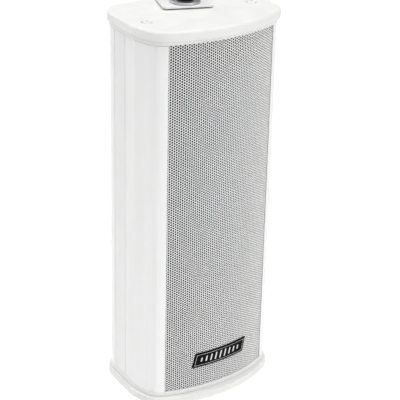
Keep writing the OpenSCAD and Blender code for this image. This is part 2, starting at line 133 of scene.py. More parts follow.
def line(p, q, shift):
    """A line as a point and a direction, moved to its left by shift."""
    way = (q - p).normalized()
    return p + shift * Vector((-way.y, way.x)), way


def meet(l, m):
    return l[0] + l[1] * cross(m[0] - l[0], m[1]) / cross(l[1], m[1])


def leave(l, centre, r):
    """Where a line leaves a circle, going backwards along the line."""
    b = (l[0] - centre).dot(l[1])
    k = (l[0] - centre).length_squared - r * r
    return l[0] - l[1] * (b + math.sqrt(b * b - k))


def normal_angle(p, q):
    return math.atan2(p.x - q.x, q.y - p.y)


C1 = leave(line(FRONT_CORNER, WIDEST, CORNER_R), FRONT_CENTRE, FRONT_R - CORNER_R)
C2 = meet(line(FRONT_CORNER, WIDEST, WIDEST_R), line(WIDEST, REAR_CORNER, WIDEST_R))
C3 = meet(line(WIDEST, REAR_CORNER, REAR_R), line(REAR_CORNER, Vector((0, REAR_CORNER.y)), REAR_R))
SIDE_A = normal_angle(FRONT_CORNER, WIDEST)
FLANK_A = normal_angle(WIDEST, REAR_CORNER)
FRONT_A = math.atan2(C1.y - FRONT_CENTRE.y, C1.x)


def spot(centre, r, a):
    return Vector((centre.x + r * math.cos(a), centre.y + r * math.sin(a)))


def arc(centre, r, start, end, steps, first=0):
    return [spot(centre, r, start + (end - start) * i / steps) for i in range(first, steps + 1)]


def half_outline(d):
    """Right half of the outline, offset outwards by d, from the front's middle to the rear's."""
    return (arc(FRONT_CENTRE, FRONT_R + d, -math.pi / 2, FRONT_A, 36)
            + arc(C1, CORNER_R + d, FRONT_A, SIDE_A, 20, 1)
            + arc(C2, max(WIDEST_R + d, 0.2), SIDE_A, FLANK_A, 6)
            + arc(C3, REAR_R + d, FLANK_A, math.pi / 2, 20)
            + [Vector((0, REAR_CORNER.y + d))])


def mirrored(points):
    return [Vector((-p.x, p.y)) for p in reversed(points)]


def outline(d):
    half = half_outline(d)
    return half + mirrored(half)[1:-1]


def front_point(x, rise):
    """The point at x on the front curve, offset outwards by rise."""
    return Vector((x, FRONT_CENTRE.y - math.sqrt((FRONT_R + rise) ** 2 - x * x)))


# ---- Meshes ----
class Form:
    """Points and faces of one piece, in millimetres."""

    def __init__(self):
        self.points = []
        self.faces = []

    def ring(self, points, z=None):
        start = len(self.points)
        self.points += [Vector((p.x, p.y, p.z if z is None else z)) for p in points]
        return list(range(start, len(self.points)))

    def bridge(self, a, b):
        for i in range(len(a)):
            j = (i + 1) % len(a)
            self.faces.append((a[i], a[j], b[j], b[i]))

    def chain(self, rings):
        for a, b in zip(rings, rings[1:]):
            self.bridge(a, b)
        return rings

    def fill(self, *rings):
        """A flat face inside the first ring and outside the others."""
        flat = [i for r in rings for i in r]
        for t in tessellate_polygon([[self.points[i] for i in r] for r in rings]):
            self.faces.append(tuple(flat[i] for i in t))

    def bend(self, shape):
        self.points = [Vector(shape(p)) for p in self.points]

    def object(self, name, place=COLUMN, sharp=35, closed=True):
        mesh = bpy.data.meshes.new(name)
        mesh.from_pydata([place @ p for p in self.points], [], self.faces)
        if closed:
            work = bmesh.new()
            work.from_mesh(mesh)
            bmesh.ops.recalc_face_normals(work, faces=work.faces)
            work.to_mesh(mesh)
            work.free()
        mesh.validate()
        mesh.shade_smooth()
        mesh.set_sharp_from_angle(angle=math.radians(sharp))
        piece = bpy.data.objects.new(name, mesh)
        bpy.context.scene.collection.objects.link(piece)
        return piece


def circle(r, n=64, centre=Vector((0, 0)), phase=0):
    return [spot(centre, r, phase + 2 * math.pi * i / n) for i in range(n)]


def rounded(d, z, r, turn, down=False, steps=5):
    """(offset, height) pairs round an edge of radius r that ends at height z and offset d.
    turn is 1 going from a side onto a face, -1 from a face onto a side; down flips the face."""
    pairs = []
    for i in range(steps + 1):
        a = math.pi / 2 * i / steps
        drop = r * (1 - math.sin(a))
        pairs.append((d - r * (1 - math.cos(a)), z + drop if down else z - drop))
    return pairs if turn > 0 else pairs[::-1]


def inset(loop, depth):
    """A closed loop moved to its left by depth, with mitred corners."""
    moved = []
    for i, p in enumerate(loop):
        a = (p - loop[i - 1]).normalized()
        b = (loop[(i + 1) % len(loop)] - p).normalized()
        left = Vector((-a.y - b.y, a.x + b.x))
        moved.append(p + left * depth / (1 + a.dot(b)))
    return moved


def plate(form, loops, low, high, r, steps=3):
    """A flat plate: the first loop runs anticlockwise, holes clockwise, and both rims are rounded."""
    ends = {low: [], high: []}
    for loop in loops:
        levels = [(r + 0.3, low)] + [(-d, z) for d, z in rounded(0, low, r, -1, True, steps)]
        levels += [(-d, z) for d, z in rounded(0, high, r, 1, False, steps)] + [(r + 0.3, high)]
        rings = form.chain([form.ring(inset(loop, d), z) for d, z in levels])
        ends[low].append(rings[0])
        ends[high].append(rings[-1])
    for z in (low, high):
        form.fill(*ends[z])
    return form


def lathe(form, levels, n=64, centre=Vector((0, 0)), closed=True):
    """Rings of the given (radius, height) pairs; closed joins the last to the first."""
    rings = form.chain([form.ring(circle(r, n, centre), z) for r, z in levels])
    if closed:
        form.bridge(rings[-1], rings[0])
    return rings


def opened(form):
    """A form's points and faces as a bmesh."""
    mesh = bpy.data.meshes.new("work")
    mesh.from_pydata(form.points, [], form.faces)
    work = bmesh.new()
    work.from_mesh(mesh)
    bpy.data.meshes.remove(mesh)
    return work


def take_back(form, work):
    """Puts a bmesh's points and faces back into a form."""
    work.verts.index_update()
    form.points = [v.co.copy() for v in work.verts]
    form.faces = [tuple(v.index for v in f.verts) for f in work.faces]
    work.free()


def cut_across(form, xs):
    """Cuts every face at the given x, so that the form can bend there."""
    work = opened(form)
    for x in xs:
        parts = work.verts[:] + work.edges[:] + work.faces[:]
        bmesh.ops.bisect_plane(work, geom=parts, plane_co=(x, 0, 0), plane_no=(1, 0, 0), dist=1e-4)
    take_back(form, work)


# ---- Finishes ----
class Finish:
    """A material whose nodes vary one Principled shader. Sizes and depths are in millimetres."""

    def __init__(self, name, rough, metal=0.0, shine=0.5):
        self.material = bpy.data.materials.new(name)
        self.material.use_nodes = True
        self.nodes = self.material.node_tree.nodes
        self.links = self.material.node_tree.links
        self.shader = self.nodes["Principled BSDF"]
        self.shader.inputs["Roughness"].default_value = rough
        self.shader.inputs["Metallic"].default_value = metal
        self.shader.inputs["Specular IOR Level"].default_value = shine
        place = self.add("ShaderNodeMapping")
        place.inputs["Rotation"].default_value = (0, 0, -TURN)
        place.inputs["Scale"].default_value = (1 / MM, 1 / MM, 1 / MM)
        self.join(self.add("ShaderNodeTexCoord").outputs["Object"], place.inputs["Vector"])
        self.place = place.outputs["Vector"]
        self.relief = None

    def add(self, kind):
        return self.nodes.new(kind)

    def join(self, output, socket):
        self.links.new(output, socket)

    def noise(self, size, detail=3, stretch=(1, 1, 1)):
        """A cloudy factor from 0 to 1, whose patches are about size across."""
        scale = self.add("ShaderNodeVectorMath")
        scale.operation = "MULTIPLY"
        scale.inputs[1].default_value = [1 / (size * s) for s in stretch]
        self.join(self.place, scale.inputs[0])
        node = self.add("ShaderNodeTexNoise")
        node.inputs["Scale"].default_value = 1
        node.inputs["Detail"].default_value = detail
        self.join(scale.outputs[0], node.inputs["Vector"])
        return node.outputs["Fac"]

    def bands(self, pitch, way="Z", wobble=0.0):
        """Regular ribs, pitch apart, along one axis of the column."""
        node = self.add("ShaderNodeTexWave")
        node.bands_direction = way
        node.inputs["Scale"].default_value = math.pi / 10 / pitch
        node.inputs["Distortion"].default_value = wobble
        self.join(self.place, node.inputs["Vector"])
        return node.outputs["Fac"]

    def mixed(self, a, b, operation="MULTIPLY"):
        node = self.add("ShaderNodeMath")
        node.operation = operation
        for value, socket in ((a, node.inputs[0]), (b, node.inputs[1])):
            if isinstance(value, (int, float)):
                socket.default_value = value
            else:
                self.join(value, socket)
        return node.outputs[0]

    def step(self, factor, start, end, low=0.0, high=1.0):
        node = self.add("ShaderNodeMapRange")
        for key, value in (("From Min", start), ("From Max", end), ("To Min", low), ("To Max", high)):
            node.inputs[key].default_value = value
        self.join(factor, node.inputs["Value"])
        return node.outputs["Result"]

    def edges(self, start=0.53, end=0.62):
        """1 on outer edges, 0 on flats."""
        return self.step(self.add("ShaderNodeNewGeometry").outputs["Pointiness"], start, end)

    def corners(self, reach, start=0.55, end=0.95):
        """1 deep in corners and gaps, 0 on open faces: an ambient occlusion mask, used to paint shade there.
        """
        node = self.add("ShaderNodeAmbientOcclusion")
        node.samples = 8
        node.inputs["Distance"].default_value = reach * MM
        return self.step(node.outputs["AO"], start, end, 1.0, 0.0)

    def colour(self, first, *layers):
        """Base colour: first, then each (colour, factor) laid over it."""
        below = None
        for shade, factor in layers:
            node = self.add("ShaderNodeMix")
            node.data_type = "RGBA"
            node.inputs["B"].default_value = (*shade, 1)
            if below is None:
                node.inputs["A"].default_value = (*first, 1)
            else:
                self.join(below, node.inputs["A"])
            self.join(factor, node.inputs["Factor"])
            below = node.outputs["Result"]
        self.join(below, self.shader.inputs["Base Color"])
        return self

    def roughness(self, factor, low, high):
        self.join(self.step(factor, 0.3, 0.7, low, high), self.shader.inputs["Roughness"])
        return self

    def bump(self, height, depth):
        node = self.add("ShaderNodeBump")
        node.inputs["Distance"].default_value = depth * MM
        self.join(height, node.inputs["Height"])
        if self.relief is not None:
            self.join(self.relief, node.inputs["Normal"])
        self.relief = node.outputs["Normal"]
        self.join(self.relief, self.shader.inputs["Normal"])
        return self


def paint(name, shade, rough=0.42, peel=1.4):
    """Satin powder coat: orange peel and faint clouding, with a painted highlight on the edges and painted
    shade in the gaps.
    """
    f = Finish(name, rough)
    grain = f.noise(0.35, 2)
    cloud = f.noise(30, 2)
    f.colour(shade, ([c * 0.975 for c in shade], f.step(cloud, 0.35, 0.7)),
             # Lighter on the edges: a painted highlight
             ([c * 1.12 for c in shade], f.mixed(f.edges(0.53, 0.6), f.step(grain, 0.3, 0.7, 0.6, 1))),
             # Darker in corners and gaps: painted shade
             ([c * 0.8 for c in shade], f.mixed(f.corners(2), 0.15)))
    f.roughness(f.noise(6, 4), rough - 0.05, rough + 0.06)
    return f.bump(f.noise(peel, 2), 0.012).bump(grain, 0.003)


def moulded(name, shade, rough=0.5, grain=0.45, depth=0.012, shine=0.5):
    """Injection-moulded plastic with an eroded texture, a painted highlight on its edges and painted shade
    in its corners.
    """
    f = Finish(name, rough, shine=shine)
    speck = f.noise(grain, 3)
    f.colour(shade, ([c * 0.96 for c in shade], f.step(f.noise(18, 2), 0.35, 0.7)),
             # Lighter on the edges: a painted highlight
             ([min(1, c * 1.1 + 0.02) for c in shade], f.mixed(f.edges(0.56, 0.7), 0.35)),
             # Darker in corners: painted shade
             ([c * 0.8 for c in shade], f.mixed(f.corners(1.5), 0.12)))
    f.roughness(f.noise(5, 4), rough - 0.06, rough + 0.08)
    return f.bump(speck, depth)


def metal(name, shade, rough=0.34, dull=(0.42, 0.42, 0.43), stretch=(1, 1, 6), depth=0.004):
    """Plated or bare metal with drawn scratches, duller patches, painted highlights on the edges and painted
    shade in the corners.
    """
    f = Finish(name, rough, metal=1.0)
    scratch = f.noise(0.25, 3, stretch)
    f.colour(shade, (dull, f.step(f.noise(3.5, 4), 0.45, 0.8, 0, 0.6)),
             # Brighter on the edges: a painted highlight
             ([min(1, c * 1.15) for c in shade], f.edges(0.55, 0.66)),
             # Darker in corners: painted shade
             ([c * 0.4 for c in shade], f.mixed(f.corners(1.5), 0.5)))
    f.roughness(f.noise(2.5, 4), rough - 0.08, rough + 0.14)
    return f.bump(scratch, depth)


def blackened(name, shade=(0.018, 0.018, 0.019), rough=0.42):
    """Black oxide or lacquer on steel, rubbed back to metal at the edges."""
    f = Finish(name, rough, metal=0.35)
    f.colour(shade, ([c * 1.9 for c in shade], f.step(f.noise(1.2, 4), 0.45, 0.75)),
             ((0.2, 0.2, 0.21), f.mixed(f.edges(0.56, 0.68), 0.5)))
    f.roughness(f.noise(1.5, 4), rough - 0.1, rough + 0.12)
    return f.bump(f.noise(0.3, 3), 0.006)


def woven(name, shade, light, pitch=0.55, rough=0.9, depth=0.06):
    """Cloth: threads over and under each other."""
    f = Finish(name, rough)
    weave = f.mixed(f.bands(pitch, "X", 0.4), f.bands(pitch, "Z", 0.4))
    f.colour(shade, (light, f.mixed(weave, f.step(f.noise(2, 3), 0.3, 0.7, 0.4, 1.0))))
    f.roughness(f.noise(1, 3), rough - 0.08, min(1, rough + 0.08))
    return f.bump(weave, depth)


def fibrous(name, shade, light, size=0.6, stretch=(4, 4, 0.6), rough=0.85, depth=0.05):
    """Paper, board or wadding: fibres that lie in one main direction."""
    f = Finish(name, rough)
    fibre = f.noise(size, 5, stretch)
    f.colour(shade, (light, f.step(fibre, 0.4, 0.65)),
             ([c * 0.7 for c in shade], f.step(f.noise(size * 9, 3), 0.55, 0.8, 0, 0.6)))
    f.roughness(fibre, rough - 0.1, min(1, rough + 0.1))
    return f.bump(fibre, depth)


def rubber(name, shade, bloom, rough=0.68):
    """Rubber or cable sheath with a dull bloom in patches and on the edges."""
    f = Finish(name, rough)
    f.colour(shade, (bloom, f.step(f.noise(4, 4), 0.5, 0.85, 0, 0.6)), (bloom, f.mixed(f.edges(), 0.6)))
    f.roughness(f.noise(2, 3), rough - 0.08, rough + 0.1)
    return f.bump(f.noise(0.5, 3), 0.015)


def striped(name, shade, dark, pitch, way, rough, metal_share=0.0, depth=0.04):
    """Laminations or close turns of wire."""
    f = Finish(name, rough, metal=metal_share)
    ribs = f.bands(pitch, way, 0.15)
    f.colour(shade, (dark, f.step(ribs, 0.75, 0.2)),
             ([c * 0.7 for c in shade], f.step(f.noise(5, 3), 0.5, 0.8)))
    f.roughness(f.noise(2, 3), rough - 0.06, rough + 0.12)
    return f.bump(ribs, depth)


def make_finishes():
    """One finish for each material slot of the record. The pale gasket_rubber suits the end seals;
    the drivers' surrounds use the same slot, and real ones would be darker."""
    white = (0.80, 0.80, 0.797)
    finishes = {
        "bracket_paint": paint("bracket_paint", white, 0.4, 1.2),
        "body_paint": paint("body_paint", white, 0.42),
        "cap_plastic": moulded("cap_plastic", (0.81, 0.81, 0.795), 0.5),
        "gasket_rubber": rubber("gasket_rubber", (0.72, 0.72, 0.71), (0.78, 0.78, 0.775)),
        "grille_paint": paint("grille_paint", (0.88, 0.88, 0.875), 0.45, 0.9),
        "black_cloth": woven("black_cloth", (0.006, 0.006, 0.006), (0.016, 0.016, 0.016)),
        "badge_black": moulded("badge_black", (0.007, 0.007, 0.0075), 0.45, 0.3, 0.004, 0.12),
        "badge_silver": metal("badge_silver", (0.72, 0.72, 0.73), 0.3, (0.6, 0.6, 0.61), (8, 1, 1)),
        "board": fibrous("board", (0.13, 0.085, 0.05), (0.2, 0.14, 0.09)),
        "basket_paint": blackened("basket_paint", (0.03, 0.03, 0.031), 0.5),
        "ferrite": moulded("ferrite", (0.05, 0.05, 0.053), 0.6, 0.25, 0.02),
        "zinc_steel": metal("zinc_steel", (0.66, 0.67, 0.69)),
        "spider_cloth": woven("spider_cloth", (0.42, 0.25, 0.07), (0.6, 0.4, 0.15), 0.5, 0.7),
        "paper": fibrous("paper", (0.035, 0.034, 0.033), (0.07, 0.068, 0.065), 0.5, (2, 2, 2)),
        "copper_wire": striped("copper_wire", (0.7, 0.32, 0.14), (0.25, 0.09, 0.03), 0.3, "Y", 0.35, 1.0),
        "black_screw": blackened("black_screw"),
        "core_iron": striped("core_iron", (0.14, 0.14, 0.15), (0.05, 0.05, 0.055), 0.5, "Z", 0.5, 0.6),
        "winding_tape": striped("winding_tape", (0.62, 0.42, 0.1), (0.45, 0.28, 0.06), 6, "Z", 0.35),
        "terminal_plastic": moulded("terminal_plastic", (0.62, 0.6, 0.52), 0.45),
        "wadding": fibrous("wadding", (0.6, 0.61, 0.6), (0.85, 0.86, 0.85), 0.8, (5, 5, 1), 0.95, 0.3),
        "black_nylon": moulded("black_nylon", (0.022, 0.022, 0.023), 0.48),
        "screw_paint": paint("screw_paint", white, 0.36, 0.5),
        "brass_insert": metal("brass_insert", (0.72, 0.55, 0.25), 0.3, (0.5, 0.36, 0.14)),
        "wire_red": rubber("wire_red", (0.42, 0.02, 0.015), (0.5, 0.05, 0.04), 0.4),
        "wire_black": rubber("wire_black", (0.02, 0.02, 0.02), (0.05, 0.05, 0.05), 0.42),
    }
    return {slot: f.material for slot, f in finishes.items()}


def fit(piece, body, slot, *nodes):
    """The piece rides on a body, takes its finish from a slot and stands for CAD nodes."""
    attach(piece, body)
    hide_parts(*nodes)
    piece.data.materials.append(MATERIALS[slot])
    return piece


# ---- Cabinet ----
GRILLE_HALF = 62.2
LIP = 0.9
LIP_ROUNDING = 0.4
SLOT = 1.1
SLOT_HALF = 65.2
KEEPER_HALF = 68.2
WALL = 2.2
SCREW = Vector((62.6, -25.3))
PORT_R = 4.5
PORT_HOLE_R = 2
GROOVES = (11.9, -9.6)
GROOVE_W = 1.1
GROOVE_DEPTH = 0.25
COVE_R = 8
COVE_DEPTH = 0.9
COVE_A = math.radians(-31)
COVE_BLEND_FRONT = 0.3
COVE_BLEND_REAR = 0.9
CORNER_STEPS = 90
# The angle from the grille's edge to just past the lip's rounding
LIP_END_A = 0.003


def smooth_min(a, b, k):
    """The smaller of two values, blended over a difference of k."""
    h = max(k - abs(a - b), 0) / k
    return min(a, b) - h * h * k / 4


def cove_radius(a):
    """Distance of the front corner's surface from its centre, with the shallow cove in it."""
    reach = CORNER_R + COVE_R - COVE_DEPTH
    off = a - COVE_A
    inside = COVE_R ** 2 - (reach * math.sin(off)) ** 2
    if inside <= 0:
        return CORNER_R
    scoop = reach * math.cos(off) - math.sqrt(inside)
    return smooth_min(CORNER_R, scoop, COVE_BLEND_FRONT if off < 0 else COVE_BLEND_REAR)


def flank_spot(y, depth):
    """The point at y on the straight flank, sunk in by depth."""
    t = (y - WIDEST.y) / (REAR_CORNER.y - WIDEST.y)
    return WIDEST.lerp(REAR_CORNER, t) - depth * Vector((math.cos(FLANK_A), math.sin(FLANK_A)))


def outer_side():
    """The cabinet's outer surface on the right, from the grille's lip to the middle of the rear."""
    edge = math.asin(GRILLE_HALF / FRONT_R) - math.pi / 2
    points = arc(FRONT_CENTRE, FRONT_R, edge + LIP_END_A, FRONT_A, 10)
    turns = [FRONT_A + (SIDE_A - FRONT_A) * i / CORNER_STEPS for i in range(1, CORNER_STEPS + 1)]
    points += [spot(C1, cove_radius(a), a) for a in turns]
    points += arc(C2, WIDEST_R, SIDE_A, FLANK_A, 6)
    half = GROOVE_W / 2
    entry = ((-half - 0.15, 0), (-half - 0.04, 0.06), (-half, 0.3), (-half, 0.85), (-half + 0.1, 1))
    profile = entry + tuple((-off, share) for off, share in reversed(entry))
    for y in sorted(GROOVES):
        points += [flank_spot(y + off, share * GROOVE_DEPTH) for off, share in profile]
    return points + arc(C3, REAR_R, FLANK_A, math.pi / 2, 24)


RIB = 1.5
RIB_X = 62.8
RAIL_X = 34
RAIL_WEB = 2
RAIL_LIP = 3
RAIL_LIP_THICKNESS = 1.8
RAIL_LIP_GAP = 0.1
BOARD_PLAY = 0.1
KEEPER = 1.2


def at_depth(wall, y):
    """Where a wall that runs from rear to front is at depth y."""
    for p, q in zip(wall, wall[1:]):
        if q.y <= y < p.y:
            return p.lerp(q, (p.y - y) / (p.y - q.y))


def stand_on(wall, high, low, middle):
    """The wall with something standing on it between two depths."""
    before = [p for p in wall if p.y > high]
    after = [p for p in wall if p.y < low]
    return before + [at_depth(wall, high)] + middle + [at_depth(wall, low)] + after


def inner_side(board_front, board_rear, plate_front):
    """The cabinet's inner surface on the right, from the middle of the rear to the grille's lip."""
    rear = REAR_CORNER.y - WALL
    lip_rear = plate_front - RAIL_LIP_GAP
    lip_front = lip_rear - RAIL_LIP_THICKNESS
    lip_x = RAIL_X - RAIL_LIP
    web_x = RAIL_X + RAIL_WEB
    rail = [Vector(p) for p in ((RAIL_X, rear), (RAIL_X, lip_rear), (lip_x, lip_rear), (lip_x, lip_front),
                                (web_x, lip_front), (web_x, rear))]
    wall = [p for p in reversed(half_outline(-WALL)[:-1]) if p.y > 0 or p.x > KEEPER_HALF]
    web = math.asin(1 / PORT_R)
    wall = stand_on(wall, SCREW.y + 1, SCREW.y - 1, arc(SCREW, PORT_R, web, 2 * math.pi - web, 28))
    rib = board_rear + BOARD_PLAY
    wall = stand_on(wall, rib + RIB, rib, [Vector((RIB_X, rib + RIB)), Vector((RIB_X, rib))])
    deep = LIP + SLOT
    back = deep + KEEPER
    rib = board_front - BOARD_PLAY
    meeting = math.sqrt((FRONT_R - back) ** 2 - (FRONT_CENTRE.y - rib) ** 2)
    keeper = [front_point(KEEPER_HALF, -WALL), front_point(KEEPER_HALF, -back), Vector((meeting, rib)),
              Vector((RIB_X, rib)), front_point(RIB_X, -back), front_point(GRILLE_HALF, -back),
              front_point(GRILLE_HALF, -deep), front_point(SLOT_HALF, -deep), front_point(SLOT_HALF, -LIP)]
    keeper.append(front_point(GRILLE_HALF, -LIP))
    centre = front_point(GRILLE_HALF + LIP_ROUNDING, -LIP_ROUNDING)
    lean = math.asin(GRILLE_HALF / FRONT_R)
    return rail + wall + keeper + arc(centre, LIP_ROUNDING, math.pi, math.pi * 3 / 2 + lean, 6)


# The rebate that makes the shadow gap round the cabinet's top edge: its height and depth
REBATE = 0.55
REBATE_DEPTH = 0.8


def drawn(points, rise):
    """An open wall moved outwards by rise, point by point."""
    moved = []
    for i, p in enumerate(points):
        way = (points[min(i + 1, len(points) - 1)] - points[max(i - 1, 0)]).normalized()
        moved.append(p + rise * Vector((way.y, -way.x)))
    return moved


def make_cabinet():
    """The extruded profile, with a shallow rebate in its outer surface at the top edge."""
    low, high = span("enclosure_profile")
    board_front, board_rear = (corner.y for corner in span("baffle"))
    inner = inner_side(board_front, board_rear, span("chassis_plate")[0].y)
    outer = outer_side()
    loops = [inner + outer + mirrored(inner + outer)]
    loops += [circle(PORT_HOLE_R, 24, Vector((s * SCREW.x, SCREW.y))) for s in (-1, 1)]
    sunk = inner + drawn(outer, -REBATE_DEPTH)
    top_loops = [sunk + mirrored(sunk)] + loops[1:]
    form = Form()
    step = high.z - REBATE
    stages = [[form.ring(points, z) for points in kind] for kind, z in
              ((loops, low.z), (loops, step), (top_loops, step), (top_loops, high.z))]
    for a, b in zip(stages, stages[1:]):
        for first, second in zip(a, b):
            form.bridge(first, second)
    for rings in (stages[0], stages[-1]):
        form.fill(*rings)
    fit(form.object("cabinet_extrusion", sharp=24), "column", "body_paint", "enclosure_profile")


# ---- End caps and frames ----
CAP_OVERHANG = 3.2
CAP_ROUNDING = 2.4
CAP_LOWER_ROUNDING = 1.1
CAP_RIM = 2.5
CAP_PLATE = 3.5
GASKET = 0.5
# How far the end seals stand out from the cabinet's outline
SEAL_OUT_TOP = -0.8
SEAL_OUT_BOTTOM = 0.9
RECESS_R = 6
RECESS_DEPTH = 1.9
SCREW_HOLE_R = 2.25
BOSS_R = 6.8
PIVOT_HOLE_R = 5.25
INSERT_R = 7
PIVOT_BOSS_R = 13
GLAND = Vector((0, -46))
GLAND_HOLE_R = 8.1
FRAME_OVERHANG = 0.8
FRAME_RIM = 5.5
FRAME_ROUNDING = 0.3
FRONT_BULGE = 3.5
BULGE_FADE = 20


def bulged(d):
    """A cap's outline: its front stands out further than the cabinet's, most in the middle."""
    across = WIDEST.x + CAP_OVERHANG
    return [Vector((p.x, p.y - FRONT_BULGE * (1 - (p.x / across) ** 2)
                    * min(1, max(0, (WIDEST.y - p.y) / BULGE_FADE)))) for p in outline(d)]


def make_cap(name, node, end):
    """A hollow cap, turned over at the bottom end (end = -1)."""
    top = span("top_cap")[1].z
    base = span("top_frame")[1].z + GASKET
    ceiling = top - CAP_PLATE
    boss_low = span("top_frame")[0].z + 0.1
    pivot_boss_low = span("top_cap")[0].z
    form = Form()
    levels = [(-CAP_RIM, base)] + rounded(CAP_OVERHANG, base, CAP_LOWER_ROUNDING, -1, True, 4)
    levels += rounded(CAP_OVERHANG, top, CAP_ROUNDING, 1, False, 10)
    levels.append((levels[-1][0] - 0.5, top))
    outer = form.chain([form.ring(bulged(d) if d > -CAP_RIM else outline(d), z) for d, z in levels])
    inner = form.chain([outer[0], form.ring(outline(-CAP_RIM), ceiling)])
    screw_well = [(RECESS_R + 1.2, top), (RECESS_R + 0.7, top), (RECESS_R + 0.25, top - 0.1),
                  (RECESS_R, top - 0.3), (RECESS_R - 1, top - RECESS_DEPTH + 0.3),
                  (RECESS_R - 1.3, top - RECESS_DEPTH), (SCREW_HOLE_R, top - RECESS_DEPTH),
                  (SCREW_HOLE_R, boss_low), (BOSS_R, boss_low), (BOSS_R, ceiling)]
    pivot_well = [(PIVOT_HOLE_R, top), (PIVOT_HOLE_R, ceiling + 0.5), (INSERT_R, ceiling + 0.5),
                  (INSERT_R, pivot_boss_low), (PIVOT_BOSS_R, pivot_boss_low), (PIVOT_BOSS_R, ceiling)]
    wells = [lathe(form, screw_well, 40, Vector((s * SCREW.x, SCREW.y)), False) for s in (-1, 1)]
    wells.append(lathe(form, pivot_well, 48, closed=False))
    if end < 0:
        wells.append(lathe(form, [(GLAND_HOLE_R, top), (GLAND_HOLE_R, ceiling)], 48, GLAND, False))
    form.fill(outer[-1], *[w[0] for w in wells])
    form.fill(inner[-1], *[w[-1] for w in wells])
    form.bend(lambda p: (p.x, p.y, end * p.z))
    fit(form.object(name), "column", "cap_plastic", node)


def make_frame(name, node):
    """The narrow frame between a cap and the cabinet."""
    low, high = (corner.z for corner in span(node))
    inner, outer = (low, high) if high > 0 else (-high, -low)
    levels = [(-FRAME_RIM, inner)] + rounded(FRAME_OVERHANG, inner, FRAME_ROUNDING, -1, True)
    levels += rounded(FRAME_OVERHANG, outer, FRAME_ROUNDING, 1) + [(-FRAME_RIM, outer)]
    levels = [(d, z if high > 0 else -z) for d, z in levels]
    form = Form()
    rings = form.chain([form.ring(outline(d), z) for d, z in levels])
    form.bridge(rings[-1], rings[0])
    fit(form.object(name), "column", "body_paint", node)


def make_gaskets():
    """The two thin seals between the caps and the frames."""
    base = span("top_frame")[1].z
    form = Form()
    for end, out in ((1, SEAL_OUT_TOP), (-1, SEAL_OUT_BOTTOM)):
        levels = ((-CAP_RIM, base), (out, base), (out, base + GASKET), (-CAP_RIM, base + GASKET))
        rings = form.chain([form.ring(outline(d), end * z) for d, z in levels])
        form.bridge(rings[-1], rings[0])
    fit(form.object("end_seals"), "column", "gasket_rubber", "end_gaskets")


# ---- Grille and its cloth ----
HOLE_PITCH = 2.62
COLUMN_PITCH = HOLE_PITCH * math.sqrt(3) / 2
HOLE_R = 1.1
HOLE_SIDES = 6
# Columns of holes on each side of the middle one
HOLE_COLUMNS = 28
GRILLE_SHEET = 1
CLOTH_THICKNESS = 0.8
CLOTH_STEPS = 40


class Grille(Form):
    """A flat perforated sheet in X (across) and Y (up), with its face at Z = 0, before it is curved."""

    def __init__(self, half_height, half_width, sheet):
        super().__init__()
        self.rows = math.ceil(half_height / HOLE_PITCH) + 1
        self.sheet = sheet
        self.holes = {}
        for i in range(-HOLE_COLUMNS, HOLE_COLUMNS + 1):
            for j in range(-self.rows, self.rows + 1):
                self.holes[i, j] = self.hole(i * COLUMN_PITCH, (j + i % 2 / 2) * HOLE_PITCH)
        for i, j in self.holes:
            self.join_neighbours(i, j)
        self.border(HOLE_COLUMNS, half_width)
        self.border(-HOLE_COLUMNS, -half_width)

    def hole(self, x, y):
        face = self.ring(circle(HOLE_R, HOLE_SIDES, Vector((x, y))), 0)
        back = self.ring(circle(HOLE_R, HOLE_SIDES, Vector((x, y))), -self.sheet)
        for k in range(HOLE_SIDES):
            m = (k + 1) % HOLE_SIDES
            self.faces.append((face[m], face[k], back[k], back[m]))
        return face

    def join_neighbours(self, i, j):
        """The metal between a hole and those above it, up to its right and down to its right."""
        here = self.holes[i, j]
        above = self.holes.get((i, j + 1))
        right = self.holes.get((i + 1, j + i % 2))
        below = self.holes.get((i + 1, j + i % 2 - 1))
        if above:
            self.faces.append((here[2], here[1], above[5], above[4]))
        if right:
            self.faces.append((here[1], here[0], right[4], right[3]))
        if below:
            self.faces.append((here[0], here[5], below[3], below[2]))
        if above and right:
            self.faces.append((here[1], right[3], above[5]))
        if right and below:
            self.faces.append((here[0], below[2], right[4]))

    def border(self, i, edge_x):
        """The plain margin outside the last column of holes."""
        middle, low, high = (0, 5, 1) if edge_x > 0 else (3, 4, 2)
        before = None
        for j in range(-self.rows, self.rows + 1):
            hole = self.holes[i, j]
            margin = [self.ring([Vector((edge_x, self.points[hole[k]].y))], 0)[0] for k in (low, high)]
            faces = [(hole[low], margin[0], margin[1], hole[high], hole[middle])]
            if before:
                faces.append((before[0], before[1], margin[0], hole[low]))
            before = (hole[high], margin[1])
            self.faces += faces if edge_x > 0 else [f[::-1] for f in faces]

    def trim(self, half_height):
        """Cuts the sheet off square at both ends."""
        work = opened(self)
        for side in (-1, 1):
            parts = work.verts[:] + work.edges[:] + work.faces[:]
            bmesh.ops.bisect_plane(work, geom=parts, plane_co=(0, side * half_height, 0),
                                   plane_no=(0, side, 0), dist=1e-5, clear_outer=True)
        take_back(self, work)


def wrap(form, face_r):
    """Bends a flat form round the front: X runs along the arc of radius face_r, Z is the rise from it."""
    form.bend(lambda p: (math.sin(p.x / face_r) * (face_r + p.z),
                         FRONT_CENTRE.y - math.cos(p.x / face_r) * (face_r + p.z), p.y))


def make_grille():
    low, high = span("grille")
    face_r = FRONT_CENTRE.y - low.y
    form = Grille(high.z, face_r * math.asin(high.x / face_r), GRILLE_SHEET)
    form.trim(high.z)
    wrap(form, face_r)
    fit(form.object("grille_sheet", closed=False), "column", "grille_paint", "grille")


